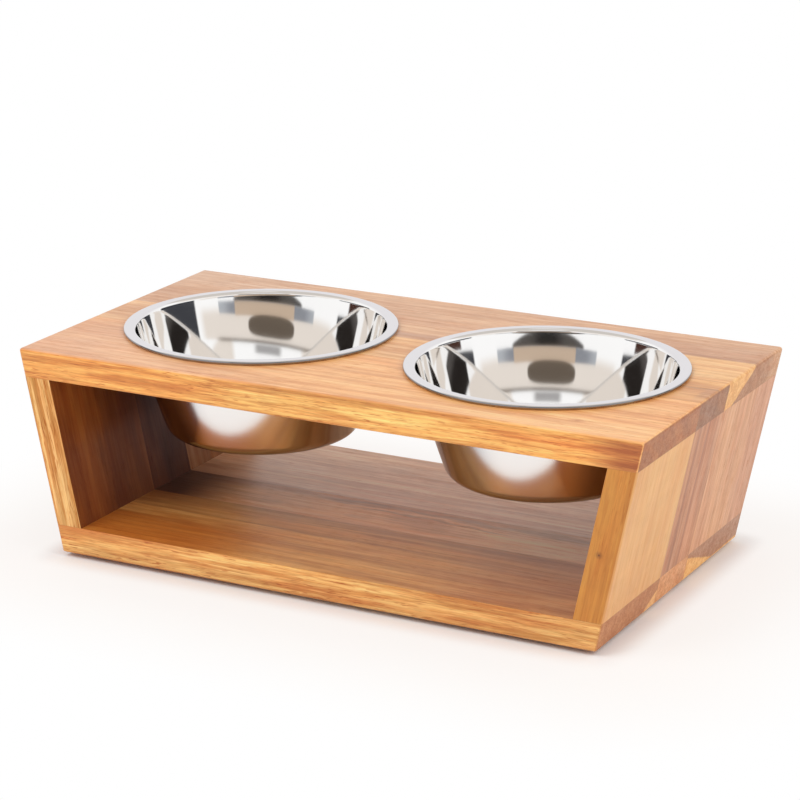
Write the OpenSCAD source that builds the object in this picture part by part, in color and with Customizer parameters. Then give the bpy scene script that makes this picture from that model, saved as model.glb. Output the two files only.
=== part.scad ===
// Raised feeder for a small dog: an open wooden case with two steel bowls hung in its top board.
// Millimetres. +X runs along the length, +Y to the back, +Z up, and the origin is on the floor
// under the middle of the case. The case is butt jointed from glued-up boards on hidden dowels.

/* [Case] */
// Length of the case over its top board
top_length = 400; // [380:1:440]
// Length of the case over its bottom board, shorter because the ends lean in
bottom_length = 348; // [330:1:370]
// Depth of the case from front to back
case_depth = 208.5; // [196:0.5:240]
// Height of the case without its feet
case_height = 123.5; // [115:0.5:150]
// Thickness of the top board
top_thickness = 17; // [14:0.5:22]
// Thickness of the bottom board
bottom_thickness = 17; // [14:0.5:22]
// Thickness of each end panel, square to its face
side_thickness = 17.2; // [14:0.1:20]
// Radius of the eased outer edges
edge_radius = 1.6; // [0.8:0.1:3]

/* [Staves] */
// Width of the front stave of every board
front_stave_width = 81; // [60:0.5:95]
// Width of the middle stave of every board
middle_stave_width = 42.5; // [25:0.5:60]

/* [Dowels] */
// Diameter of the dowels
dowel_diameter = 6; // [5:0.5:8]
// Length of a dowel that sits in the top or bottom board
dowel_in_board = 9; // [6:0.5:11]
// Length of a dowel that sits in an end panel
dowel_in_side = 15; // [10:0.5:20]
// Room for glue round a dowel and past its ends
glue_room = 0.1; // [0.05:0.05:0.3]

/* [Bowls] */
// Distance between the middles of the two bowls
bowl_spacing = 190; // [184:0.5:198]
// Diameter over the rolled rim of a bowl
rim_diameter = 166; // [164:0.5:172]
// Outer diameter of a bowl just under its rim
body_diameter = 153; // [148:0.5:155]
// Depth of a bowl below the top of the board
bowl_depth = 64; // [50:0.5:75]
// Thickness of the steel
sheet = 0.9; // [0.6:0.05:1.4]
// Radius of the rolled bead at the edge of the rim
bead_radius = 1.15; // [1:0.05:1.8]
// Radius of the bend from the rim into the wall
bend_radius = 2.2; // [1.5:0.1:3]
// Inward lean of the wall just under the rim, as millimetres in for each millimetre down
lean_top = 0.23; // [0.1:0.01:0.3]
// Inward lean of the wall where it meets the bottom curve
lean_bottom = 0.36; // [0.3:0.01:0.5]
// Radius of the curve from the wall into the floor
floor_radius = 8.5; // [5:0.5:14]
// Room between a bowl and the edge of its hole
hole_room = 0.8; // [0.4:0.1:1.5]
// Height of a bead's lowest point above the board
seat_gap = 0.2; // [0.1:0.05:0.3]

/* [Feet] */
// Diameter of a foot
foot_diameter = 13; // [10:0.5:18]
// Height of a foot
foot_height = 2.5; // [1.5:0.1:5]
// How much narrower a foot is at the floor than at the board, on each side
foot_taper = 0.4; // [0:0.1:1]
// Radius of a foot's lower edge
foot_edge = 0.6; // [0.2:0.1:1.2]
// Distance from the edges of the bottom board to the middle of a foot
foot_inset = 20; // [14:0.5:30]

/* [Hidden] */
$fn = 96;

// Straight pieces in one rounded corner of an outline
corner_steps = 5;
// Straight pieces round the curled bead of a bowl
curl_steps = 12;
// Straight pieces in one bend of a bowl
bend_steps = 8;
// Straight pieces down the wall of a bowl
wall_steps = 8;
// Overrun of every cutting shape
over = 5;

LEFT = -1;
RIGHT = 1;
FRONT = -1;
BACK = 1;

// The ends lean out by this angle as they rise
lean_run = (top_length - bottom_length) / 2;
slant = atan(lean_run / case_height);
// Thickness of an end panel measured level
side_level = side_thickness / cos(slant);
// Levels of the two joint planes above the underside of the bottom board
lower_joint = bottom_thickness;
upper_joint = case_height - top_thickness;
function end_at(z) = bottom_length / 2 + lean_run * z / case_height;

// Front and back limits of the staves: front, middle and back
stave_y = [
    -case_depth / 2,
    -case_depth / 2 + front_stave_width,
    -case_depth / 2 + front_stave_width + middle_stave_width,
    case_depth / 2
];
function stave_middle(i) = (stave_y[i] + stave_y[i + 1]) / 2;

bowl_x = bowl_spacing / 2;
hole_radius = body_diameter / 2 + hole_room;
// Level of the rim's sheet above a bead's lowest point
rim_level = 2 * bead_radius - sheet / 2;
// Bottom of the seated bowl, measured from a bead's lowest point
bowl_bottom = -bowl_depth - seat_gap;

wood_pale = [0.90, 0.70, 0.46];
wood_gold = [0.84, 0.60, 0.34];
wood_brown = [0.62, 0.43, 0.30];
wood_pink = [0.72, 0.53, 0.41];
beech = [0.86, 0.74, 0.56];
steel = [0.80, 0.80, 0.81];
rubber = [0.16, 0.15, 0.15];

// Outline with each corner rounded by its own radius, in points that run anticlockwise
function unit(v) = v / norm(v);
function eased(points, radii) = [
    for (i = [0 : len(points) - 1])
        let (
            p = points[i],
            back = unit(points[(i + len(points) - 1) % len(points)] - p),
            ahead = unit(points[(i + 1) % len(points)] - p),
            half = acos(back * ahead) / 2,
            centre = p + unit(back + ahead) * radii[i] / sin(half),
            from = p + back * radii[i] / tan(half) - centre,
            start = atan2(from[1], from[0]),
            turn = 180 - 2 * half
        )
        if (radii[i] > 0)
            for (k = [0 : corner_steps])
                let (a = start + turn * k / corner_steps)
                centre + radii[i] * [cos(a), sin(a)]
        else
            p
];

// Shape between two levels and two depths, as long as the case and more
module slab(y0, y1, z0, z1) {
    translate([-top_length, y0, z0])
        cube([2 * top_length, y1 - y0, z1 - z0]);
}

// Stands its children on the outer face of one end: X is square to the face, and Z runs up it
module on_end(side) {
    mirror([side == LEFT ? 1 : 0, 0, 0])
        translate([bottom_length / 2, 0, 0])
            rotate([0, slant, 0])
                children();
}

// Everything behind the outer face of one end, with its two upright edges eased
module behind_end(side) {
    far = -2 * top_length;
    half = case_depth / 2;
    on_end(side)
        linear_extrude(4 * top_length, center = true)
            polygon(eased(
                [[far, -half], [0, -half], [0, half], [far, half]],
                [0, edge_radius, edge_radius, 0]
            ));
}

// Outer form of the case: leaning ends, and an eased edge all round
module case_form() {
    half = case_depth / 2;
    radii = [for (i = [0 : 3]) edge_radius];
    intersection() {
        rotate([90, 0, 0])
            linear_extrude(case_depth + 2 * over, center = true)
                polygon(eased(
                    [
                        [-bottom_length / 2, 0],
                        [bottom_length / 2, 0],
                        [top_length / 2, case_height],
                        [-top_length / 2, case_height]
                    ],
                    radii
                ));
        rotate([90, 0, 90])
            linear_extrude(top_length + 2 * over, center = true)
                polygon(eased([[-half, 0], [half, 0], [half, case_height], [-half, case_height]], radii));
        behind_end(LEFT);
        behind_end(RIGHT);
    }
}

// Three dowels in a row on one joint plane, one to a stave
module dowel_row(side, joint, up, room) {
    // The board is beyond the joint plane and the end panel before it
    low = up ? joint - dowel_in_side : joint - dowel_in_board;
    high = up ? joint + dowel_in_board : joint + dowel_in_side;
    // The row stands in the middle of the leaning panel at half its depth there
    middle = up ? joint - dowel_in_side / 2 : joint + dowel_in_side / 2;
    for (i = [0 : 2])
        translate([side * (end_at(middle) - side_level / 2), stave_middle(i), low - room])
            cylinder(d = dowel_diameter + 2 * room, h = high - low + 2 * room);
}

// Bores of all four rows
module dowel_bores() {
    for (side = [LEFT, RIGHT]) {
        dowel_row(side, upper_joint, true, glue_room);
        dowel_row(side, lower_joint, false, glue_room);
    }
}

module bowl_holes() {
    for (side = [LEFT, RIGHT])
        translate([side * bowl_x, 0, upper_joint - over])
            cylinder(r = hole_radius, h = top_thickness + 2 * over, $fn = 180);
}

// One stave of the top board, from x0 to x1
module top_stave(i, x0, x1) {
    translate([0, 0, foot_height])
        difference() {
            intersection() {
                case_form();
                translate([x0, stave_y[i], upper_joint])
                    cube([x1 - x0, stave_y[i + 1] - stave_y[i], top_thickness + over]);
            }
            bowl_holes();
            dowel_bores();
        }
}

module bottom_stave(i) {
    translate([0, 0, foot_height])
        difference() {
            intersection() {
                case_form();
                slab(stave_y[i], stave_y[i + 1], -over, lower_joint);
            }
            dowel_bores();
        }
}

// One stave of an end panel, which leans out as it rises
module side_stave(side, i) {
    translate([0, 0, foot_height])
        difference() {
            intersection() {
                case_form();
                slab(stave_y[i], stave_y[i + 1], lower_joint, upper_joint);
                on_end(side)
                    translate([-side_thickness, -case_depth, -case_height])
                        cube([2 * side_thickness, 2 * case_depth, 3 * case_height]);
            }
            dowel_bores();
        }
}

module dowels(side, joint, up) {
    color(beech)
        translate([0, 0, foot_height])
            dowel_row(side, joint, up, 0);
}

// Middle line of a bowl's sheet from the bead to the middle of the floor: [radius, level, direction]
bend_level = rim_level - bend_radius;
top_angle = atan(lean_top);
bottom_angle = atan(lean_bottom);
// The wall starts where the bend ends, and its outer face has the body's diameter there
wall_radius = body_diameter / 2 - sheet / 2;
bend_middle = wall_radius + bend_radius * cos(top_angle);
wall_top = bend_level + bend_radius * sin(top_angle);
floor_level = bowl_bottom + sheet / 2;
wall_drop = wall_top - floor_level - floor_radius * (1 - sin(bottom_angle));
wall_foot = wall_radius - wall_drop * (lean_top + lean_bottom) / 2;
floor_middle = wall_foot - floor_radius * cos(bottom_angle);

// The bead is the edge of the sheet curled under, and its free end stops short of the rim
bead_middle = rim_diameter / 2 - bead_radius;
curl_radius = bead_radius - sheet / 2;
curl_start = 200;
curl_end = 450;

bowl_line = concat(
    [
        for (k = [0 : curl_steps])
            let (a = curl_start + (curl_end - curl_start) * k / curl_steps)
            [bead_middle + curl_radius * cos(a), bead_radius + curl_radius * sin(a), a + 90]
    ],
    [
        for (k = [0 : bend_steps])
            let (a = 90 + (90 - top_angle) * k / bend_steps)
            [bend_middle + bend_radius * cos(a), bend_level + bend_radius * sin(a), a + 90]
    ],
    [
        for (k = [1 : wall_steps - 1])
            let (
                t = k / wall_steps,
                in = wall_drop * (lean_top * t + (lean_bottom - lean_top) * t * t / 2)
            )
            [wall_radius - in, wall_top - wall_drop * t, 270 - atan(lean_top + (lean_bottom - lean_top) * t)]
    ],
    [
        for (k = [0 : bend_steps])
            let (a = -bottom_angle - (90 - bottom_angle) * k / bend_steps)
            [
                floor_middle + floor_radius * cos(a),
                floor_level + floor_radius + floor_radius * sin(a),
                a - 90
            ]
    ],
    [[0, floor_level, 180]]
);

// Points beside the middle line, at a distance to the left of its direction
function beside(line, d) = [for (p = line) [p[0] - d * sin(p[2]), p[1] + d * cos(p[2])]];
function reversed(list) = [for (i = [len(list) - 1 : -1 : 0]) list[i]];

module bowl(side) {
    color(steel)
        translate([side * bowl_x, 0, foot_height + case_height + seat_gap])
            rotate_extrude($fn = 180)
                polygon(concat(beside(bowl_line, sheet / 2), reversed(beside(bowl_line, -sheet / 2))));
}

// A soft round pad under one corner of the bottom board
module foot(side, end) {
    color(rubber)
        translate([
            side * (bottom_length / 2 - foot_inset),
            end * (case_depth / 2 - foot_inset),
            0
        ])
            rotate_extrude()
                polygon(eased(
                    [
                        [0, 0],
                        [foot_diameter / 2 - foot_taper, 0],
                        [foot_diameter / 2, foot_height],
                        [0, foot_height]
                    ],
                    [0, foot_edge, 0, 0]
                ));
}

module top_stave_front() { color(wood_gold) top_stave(0, -top_length, top_length); }
module top_stave_left() { color(wood_pale) top_stave(1, -top_length, -bowl_x); }
module top_stave_centre() { color(wood_gold) top_stave(1, -bowl_x, bowl_x); }
module top_stave_right() { color(wood_pale) top_stave(1, bowl_x, top_length); }
module top_stave_back() { color(wood_pink) top_stave(2, -top_length, top_length); }

module left_stave_front() { color(wood_gold) side_stave(LEFT, 0); }
module left_stave_middle() { color(wood_brown) side_stave(LEFT, 1); }
module left_stave_back() { color(wood_gold) side_stave(LEFT, 2); }

module right_stave_front() { color(wood_pale) side_stave(RIGHT, 0); }
module right_stave_middle() { color(wood_brown) side_stave(RIGHT, 1); }
module right_stave_back() { color(wood_pink) side_stave(RIGHT, 2); }

module bottom_stave_front() { color(wood_gold) bottom_stave(0); }
module bottom_stave_middle() { color(wood_brown) bottom_stave(1); }
module bottom_stave_back() { color(wood_brown) bottom_stave(2); }

module dowels_top_left() { dowels(LEFT, upper_joint, true); }
module dowels_top_right() { dowels(RIGHT, upper_joint, true); }
module dowels_bottom_left() { dowels(LEFT, lower_joint, false); }
module dowels_bottom_right() { dowels(RIGHT, lower_joint, false); }

module left_bowl() { bowl(LEFT); }
module right_bowl() { bowl(RIGHT); }

module foot_front_left() { foot(LEFT, FRONT); }
module foot_front_right() { foot(RIGHT, FRONT); }
module foot_back_left() { foot(LEFT, BACK); }
module foot_back_right() { foot(RIGHT, BACK); }

top_stave_front();
top_stave_left();
top_stave_centre();
top_stave_right();
top_stave_back();
left_stave_front();
left_stave_middle();
left_stave_back();
right_stave_front();
right_stave_middle();
right_stave_back();
bottom_stave_front();
bottom_stave_middle();
bottom_stave_back();
dowels_top_left();
dowels_top_right();
dowels_bottom_left();
dowels_bottom_right();
left_bowl();
right_bowl();
foot_front_left();
foot_front_right();
foot_back_left();
foot_back_right();
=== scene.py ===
# %% [markdown]
# # A raised feeder for a small dog, made in Blender
#
# The real thing is a wooden case, open at the front and the back, with two steel bowls hung in
# its top board. The ends lean in towards the floor. Every board is glued up from three staves
# of acacia, so each piece of wood has a colour and a grain of its own.
#
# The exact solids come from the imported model, which is loaded first and isn't changed. Each
# stave, bowl and foot is then worked out again as a smooth surface, and gets its own material.

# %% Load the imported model, and keep its box
import math

import bpy
import numpy as np
from mathutils import Matrix, Vector


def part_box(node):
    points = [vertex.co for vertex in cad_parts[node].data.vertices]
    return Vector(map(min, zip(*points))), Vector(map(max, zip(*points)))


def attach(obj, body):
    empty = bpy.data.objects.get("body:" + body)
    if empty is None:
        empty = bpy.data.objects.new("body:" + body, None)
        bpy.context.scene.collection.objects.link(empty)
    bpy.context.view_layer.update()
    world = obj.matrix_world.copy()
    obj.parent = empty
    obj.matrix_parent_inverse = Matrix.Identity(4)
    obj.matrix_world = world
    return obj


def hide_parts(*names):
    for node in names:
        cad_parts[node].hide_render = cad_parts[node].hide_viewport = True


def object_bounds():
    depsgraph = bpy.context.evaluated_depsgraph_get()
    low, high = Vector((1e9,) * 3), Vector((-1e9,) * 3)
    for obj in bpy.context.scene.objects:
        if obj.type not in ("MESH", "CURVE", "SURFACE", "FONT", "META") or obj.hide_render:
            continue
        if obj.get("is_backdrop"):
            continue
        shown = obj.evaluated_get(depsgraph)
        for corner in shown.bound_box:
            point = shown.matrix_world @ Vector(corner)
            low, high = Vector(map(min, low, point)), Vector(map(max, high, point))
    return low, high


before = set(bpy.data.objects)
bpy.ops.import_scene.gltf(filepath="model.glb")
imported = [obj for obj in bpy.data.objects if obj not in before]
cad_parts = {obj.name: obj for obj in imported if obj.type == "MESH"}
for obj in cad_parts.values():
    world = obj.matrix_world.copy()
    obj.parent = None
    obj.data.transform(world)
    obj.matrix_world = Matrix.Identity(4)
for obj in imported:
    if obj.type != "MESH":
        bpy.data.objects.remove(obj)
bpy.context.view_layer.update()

# %% [markdown]
# ## Camera
#
# A photograph fixes where the camera stood. The corners of the case, whose real places are
# known, were set against their places in the picture until they agreed. That gave a long lens,
# a camera 28 degrees round to the right and 17 degrees above the horizon, and the point that
# the middle of the picture looks at.

# %% Camera
SIDE_TURN = math.radians(27.81)
LOOK_DOWN = math.radians(17.06)
TILT = math.radians(-0.18)
DISTANCE = 1.6855
LOOK_AT = Vector((-0.00055, 0.0, 0.09336))

to_camera = Vector((
    math.sin(SIDE_TURN) * math.cos(LOOK_DOWN),
    -math.cos(SIDE_TURN) * math.cos(LOOK_DOWN),
    math.sin(LOOK_DOWN),
))
camera_data = bpy.data.cameras.new("camera")
camera_data.sensor_width = 36.0
camera_data.lens = 128.0
camera_data.clip_end = 50.0
camera = bpy.data.objects.new("camera", camera_data)
bpy.context.scene.collection.objects.link(camera)
upright = to_camera.to_track_quat("Z", "Y").to_matrix().to_4x4()
camera.matrix_world = (
    Matrix.Translation(LOOK_AT + DISTANCE * to_camera) @ upright @ Matrix.Rotation(TILT, 4, "Z")
)
bpy.context.scene.camera = camera
bpy.context.scene.view_settings.view_transform = "Standard"
print("camera at", [round(c, 3) for c in camera.matrix_world.translation])

# %% [markdown]
# ## Nodes written as sums
#
# A procedural finish is a long sum of patterns, and wiring it by hand takes a node for every
# sign. Here one small class wraps a socket, so that a line of Python such as
# `1 - 0.3 * pores` adds the Math nodes by itself. Everything else, such as a noise or a
# shader, comes from one method that takes the node's type, its settings and its sockets.

# %% Sockets that can be added and multiplied
class Wire:
    """An output socket. Arithmetic on it adds Math nodes to its own tree."""

    def __init__(self, bench, socket):
        self.bench = bench
        self.socket = socket

    def sum(self, operation, *values):
        return self.bench.node("ShaderNodeMath", {"operation": operation}, dict(enumerate(values)))[0]

    def __add__(self, other):
        return self.sum("ADD", self, other)

    def __radd__(self, other):
        return self.sum("ADD", other, self)

    def __sub__(self, other):
        return self.sum("SUBTRACT", self, other)

    def __rsub__(self, other):
        return self.sum("SUBTRACT", other, self)

    def __mul__(self, other):
        return self.sum("MULTIPLY", self, other)

    def __rmul__(self, other):
        return self.sum("MULTIPLY", other, self)

    def __truediv__(self, other):
        return self.sum("DIVIDE", self, other)

    def __rtruediv__(self, other):
        return self.sum("DIVIDE", other, self)

    def __pow__(self, other):
        return self.sum("POWER", self, other)

    def size(self):
        return self.sum("ABSOLUTE", self)

    def least(self, other):
        return self.sum("MINIMUM", self, other)

    def most(self, other):
        return self.sum("MAXIMUM", self, other)

    def root(self):
        return self.sum("SQRT", self)

    def rise(self, low, high):
        """0 below low and 1 above high, with a soft step between. With low above high it falls."""
        settings = {"interpolation_type": "SMOOTHSTEP"}
        start, end, first, last = (low, high, 0.0, 1.0) if low < high else (high, low, 1.0, 0.0)
        values = {"Value": self, "From Min": start, "From Max": end, "To Min": first, "To Max": last}
        return self.bench.node("ShaderNodeMapRange", settings, values)["Result"]

    def within(self, low, high, soft):
        """1 between low and high, and 0 outside, with soft edges."""
        return self.rise(low - soft, low + soft) * self.rise(high + soft, high - soft)


class Outputs:
    """The output sockets of a node, by name or by number, each as a Wire."""

    def __init__(self, bench, made):
        self.bench = bench
        self.made = made

    def __getitem__(self, key):
        return Wire(self.bench, self.made.outputs[key])


class Bench:
    """A node tree to build a finish in."""

    def __init__(self, tree):
        self.tree = tree
        tree.nodes.clear()

    def node(self, kind, settings=None, sockets=None):
        """Adds a node, makes its settings first, then sets or links its sockets."""
        made = self.tree.nodes.new(kind)
        for name, value in (settings or {}).items():
            setattr(made, name, value)
        for key, value in (sockets or {}).items():
            if isinstance(value, Wire):
                self.tree.links.new(value.socket, made.inputs[key])
            else:
                made.inputs[key].default_value = value
        return Outputs(self, made)

    def point(self, x, y, z):
        return self.node("ShaderNodeCombineXYZ", {}, {0: x, 1: y, 2: z})[0]

    def parts(self, vector):
        """The x, y and z of a vector."""
        split = self.node("ShaderNodeSeparateXYZ", {}, {0: vector})
        return split[0], split[1], split[2]

    def noise(self, place, detail=2.0, roughness=0.5, scale=1.0):
        """Cloudy pattern from 0 to 1, mostly near 0.5."""
        values = {"Vector": place, "Scale": scale, "Detail": detail, "Roughness": roughness}
        return self.node("ShaderNodeTexNoise", {"noise_dimensions": "3D"}, values)[0]

    def blend(self, first, second, share):
        """From the first colour to the second as share goes from 0 to 1."""
        mixed = self.node("ShaderNodeMix", {"data_type": "RGBA", "clamp_factor": True})
        for key, value in ((0, share), (6, first), (7, second)):
            if isinstance(value, Wire):
                self.tree.links.new(value.socket, mixed.made.inputs[key])
            else:
                mixed.made.inputs[key].default_value = value
        return mixed[2]

    def tinted(self, colour, tint):
        """A colour with its red, green and blue each multiplied by a number."""
        return self.node("ShaderNodeVectorMath", {"operation": "MULTIPLY"}, {0: colour, 1: tint})[0]

    def shade(self, colour, strength):
        """A colour made darker or lighter by a number."""
        plain = colour if isinstance(colour, Wire) else colour[:3]
        return self.node("ShaderNodeVectorMath", {"operation": "SCALE"}, {0: plain, "Scale": strength})[0]

    def relief(self, strength, depth, height):
        """A bent normal from a height between 0 and 1 that stands for so many metres."""
        return self.node("ShaderNodeBump", {}, {"Strength": strength, "Distance": depth, "Height": height})[0]

    def cover(self, sockets):
        """The surface: one Principled shader, wired to the material's output."""
        skin = self.node("ShaderNodeBsdfPrincipled", {}, sockets)
        self.node("ShaderNodeOutputMaterial", {}, {"Surface": skin["BSDF"]})


def new_finish(name):
    """An empty material, and the bench for its nodes."""
    finish = bpy.data.materials.new(name)
    finish.use_nodes = True
    return finish, Bench(finish.node_tree)


def paint(red, green, blue):
    """A screen colour, each part from 0 to 255, as the linear colour that the shader takes."""
    parts = np.array([red, green, blue], float) / 255.0
    linear = np.where(parts <= 0.04045, parts / 12.92, ((parts + 0.055) / 1.055) ** 2.4)
    return (*(float(part) for part in linear), 1.0)


print("a mid grey of 188 is", round(paint(188, 188, 188)[0], 3), "in linear light")

# %% [markdown]
# ## Floor and light
#
# The feeder stands on white in a bright studio. The floor is a wide white disc that keeps the
# soft shadow under the case. A few millimetres out it begins to pass into plain white for the
# rays that look at it, so that no horizon shows, and it sends no more light onto the wood.
#
# A steel bowl is a mirror, and it looks like steel only if it has something to show. So the
# world is white to the camera, and to a reflected ray it is the studio: white walls, dark
# screens to the left and the right, and the things in front, from the black gap under a table
# to a brown stool, each at its turn round the feeder and its height above the horizon.

# %% Finish of the floor
WHITE = (1.0, 1.0, 1.0, 1.0)
UNDER_X = 0.174
UNDER_Y = 0.104

floor_paint, bench = new_finish("floor_white")
path = bench.node("ShaderNodeLightPath")
watched = path["Is Camera Ray"].most(path["Is Glossy Ray"]).most(path["Is Transmission Ray"])
spot_x, spot_y, _ = bench.parts(bench.node("ShaderNodeTexCoord")["Object"])
beside_x = (spot_x.size() - UNDER_X).most(0.0)
beside_y = (spot_y.size() - UNDER_Y).most(0.0)
away = (beside_x * beside_x + beside_y * beside_y).root()
glow_share = away.rise(0.002, 0.021) * 0.78 + away.rise(0.02, 0.13) * 0.22
# painted bounce light: near the case the floor's white is tinted warm, as if lit back from the wood
warm_bounce_white = bench.blend(paint(255, 251, 248), WHITE, away.rise(0.03, 0.15))
matt = bench.node("ShaderNodeBsdfDiffuse", {}, {"Color": (0.93, 0.925, 0.92, 1.0)})[0]
glow = bench.node("ShaderNodeEmission", {}, {"Color": warm_bounce_white, "Strength": 1.0})[0]
surface = bench.node("ShaderNodeMixShader", {}, {0: glow_share * watched, 1: matt, 2: glow})[0]
bench.node("ShaderNodeOutputMaterial", {}, {"Surface": surface})
print("the case covers", 2 * UNDER_X, "by", 2 * UNDER_Y, "m of the floor")

# %% Floor
FLOOR_RADIUS = 9.0
turn = np.linspace(0.0, 2.0 * math.pi, 96, endpoint=False)
rim_points = np.stack([FLOOR_RADIUS * np.cos(turn), FLOOR_RADIUS * np.sin(turn), 0.0 * turn], axis=1)
floor_mesh = bpy.data.meshes.new("floor")
floor_mesh.from_pydata(rim_points.tolist(), [], [list(range(len(rim_points)))])
floor_mesh.materials.append(floor_paint)
floor = bpy.data.objects.new("floor", floor_mesh)
bpy.context.scene.collection.objects.link(floor)
floor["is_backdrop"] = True
print("floor", 2 * FLOOR_RADIUS, "m across")

# %% World
WORLD_LIGHT = 0.80
FRONT_TURN = 24.0

world = bpy.data.worlds.new("studio")
bpy.context.scene.world = world
world.use_nodes = True
bench = Bench(world.node_tree)
path = bench.node("ShaderNodeLightPath")
way_x, way_y, way_z = bench.parts(bench.node("ShaderNodeTexCoord")["Generated"])
round_turn = way_x.sum("ARCTAN2", way_x, -1 * way_y) * math.degrees(1.0)
height = way_z.sum("ARCSINE", way_z) * math.degrees(1.0)
aside = (round_turn - FRONT_TURN).size()
bow = aside * aside
low = height + bow * 0.0009
high = height + bow * 0.00114
print("things in the studio are placed round a turn of", FRONT_TURN, "degrees")

# %% [markdown]
# ## Things that the steel shows
#
# Each thing is a field on the sphere of directions, in degrees: its turn round the feeder, or
# how far aside of the front it lies, and its height over the horizon. The straight edge of a
# table looks bent there, so low and high are heights that bow with the square of the distance
# aside. A later thing covers the earlier ones, as furniture covers a wall.

# %% Things in the studio
room = bench.blend(WHITE, paint(232, 230, 233), aside.rise(110.0, 150.0))
room = bench.blend(room, paint(208, 202, 196), height.within(45.0, 82.0, 2.0))
rim_band = height + (aside - 85.0) * 0.155
far_screens = aside.within(83.5, 112.0, 1.0) * rim_band.rise(4.7, 4.5)
room = bench.blend(room, paint(70, 46, 38), far_screens)
side_screens = aside.within(71.5, 112.0, 1.0) * rim_band.rise(4.75, 4.95) * height.rise(14.0, 12.5)
room = bench.blend(room, paint(64, 65, 70), side_screens)
table_top = aside.rise(70.0, 62.0) * low.rise(12.2, 13.7) * high.rise(17.1, 17.0)
side_table = aside.within(37.0, 60.0, 3.0) * height.within(14.0, 19.5, 0.5)
far_table = aside.within(17.0, 100.0, 3.0) * height.within(30.4, 44.0, 0.5)
room = bench.blend(room, paint(232, 223, 214), table_top.most(side_table).most(far_table))
box_under = (height + bow * 0.00107).rise(13.92, 13.68)
boxes = round_turn.within(-21.5, 71.5, 0.8) * low.rise(11.9, 12.1) * box_under
box_paint = bench.blend(paint(140, 143, 150), paint(176, 180, 186), aside.rise(34.0, 46.0))
room = bench.blend(room, box_paint, boxes)
board = round_turn.within(-1.5, 55.8, 0.7) * low.within(12.0, 13.8, 0.10)
room = bench.blend(room, paint(199, 177, 156), board)
gap = (height - bow * 0.00075).rise(9.72, 10.0) * low.rise(12.05, 11.9) * aside.rise(34.0, 31.0)
gap_paint = bench.blend(paint(36, 34, 33), paint(78, 74, 71), aside.rise(4.0, 18.0))
room = bench.blend(room, gap_paint, gap)
stool_turn = (round_turn - 20.5).size() / 23.0
stool = (stool_turn**3.0 + ((low - 15.0).size() / 1.38) ** 3.0).rise(1.12, 0.9)
room = bench.blend(room, paint(101, 90, 79), stool)
arch_line = (high - 17.0).size().rise(0.30, 0.12) * aside.rise(56.0, 46.0)
room = bench.blend(room, paint(104, 92, 82), arch_line * 0.85)
lamp_stand = aside.rise(17.0, 10.0) * high.within(17.35, 18.4, 0.15)
room = bench.blend(room, paint(164, 162, 162), lamp_stand)
ceiling = round_turn.within(3.0, 53.0, 1.5) * height.within(19.6, 30.3, 0.4)
ceiling_paint = bench.blend(paint(38, 34, 32), paint(82, 78, 76), height.rise(24.0, 21.0))
room = bench.blend(room, ceiling_paint, ceiling)

# %% What each kind of ray meets
plain = bench.node("ShaderNodeBackground", {}, {"Color": WHITE, "Strength": WORLD_LIGHT})[0]
white = bench.node("ShaderNodeBackground", {}, {"Color": WHITE, "Strength": 1.0})[0]
studio = bench.node("ShaderNodeBackground", {}, {"Color": room, "Strength": 1.0})[0]
seen = bench.node("ShaderNodeMixShader", {}, {0: path["Is Glossy Ray"], 1: plain, 2: studio})[0]
shown = path["Is Camera Ray"].most(path["Is Transmission Ray"])
seen = bench.node("ShaderNodeMixShader", {}, {0: shown, 1: seen, 2: white})[0]
bench.node("ShaderNodeOutputWorld", {}, {"Surface": seen})
print("the world has", len(world.node_tree.nodes), "nodes")

# %% [markdown]
# ## Lamps
#
# Two large soft lamps stand at the left and the right, high enough to light the top board
# best. They are hidden from reflections, where the studio stands in for them, and weak enough
# that a colour comes out about as bright as it is painted.

# %% Lamps
def softbox(name, turn, rise, distance, width, power):
    """A square area lamp at a turn and a height angle round the feeder, aimed at its middle."""
    out = Vector((
        math.sin(math.radians(turn)) * math.cos(math.radians(rise)),
        -math.cos(math.radians(turn)) * math.cos(math.radians(rise)),
        math.sin(math.radians(rise)),
    ))
    data = bpy.data.lights.new(name, "AREA")
    data.shape = "SQUARE"
    data.size = width
    data.energy = power
    lamp = bpy.data.objects.new(name, data)
    lamp.location = Vector((0.0, 0.0, 0.06)) + distance * out
    lamp.rotation_euler = out.to_track_quat("Z", "Y").to_euler()
    lamp.visible_glossy = False
    bpy.context.scene.collection.objects.link(lamp)


softbox("softbox_left", -38.0, 48.0, 1.9, 1.1, 9.0)
softbox("softbox_right", 85.0, 36.0, 1.9, 1.1, 7.0)

# %% [markdown]
# ## Sizes
#
# The staves and bowls take their place from the solids, so their sizes are measured there
# where that is possible. The few sizes that a box can't tell, such as the radius of an eased
# edge, are written down here in millimetres.

# %% Sizes in millimetres
MM = 0.001


def box_mm(node):
    """Lowest and highest corner of one of the solids, in millimetres."""
    low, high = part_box(node)
    return np.array(low) / MM, np.array(high) / MM


front_low, front_high = box_mm("top_stave_front")
middle_low, middle_high = box_mm("top_stave_centre")
_, back_high = box_mm("top_stave_back")
bottom_low, bottom_high = box_mm("bottom_stave_middle")

SEAMS = [front_low[1], middle_low[1], middle_high[1], back_high[1]]
CASE_FOOT = bottom_low[2]
SHELF_TOP = bottom_high[2]
BOARD_UNDER = front_low[2]
CASE_TOP = front_high[2]
HALF_FOOT = 174.0
HALF_TOP = 200.0
LEAN = math.atan((HALF_TOP - HALF_FOOT) / (CASE_TOP - CASE_FOOT))
PANEL_LEVEL = 17.2 / math.cos(LEAN)
EASED = 1.7
ARRIS = 0.45
HOLE_RADIUS = 77.3
BOWL_X = 95.0
print("seams at", np.round(SEAMS, 2), "levels", np.round([CASE_FOOT, SHELF_TOP, BOARD_UNDER, CASE_TOP], 2))
print("the ends lean out by", round(math.degrees(LEAN), 2), "degrees")

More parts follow.
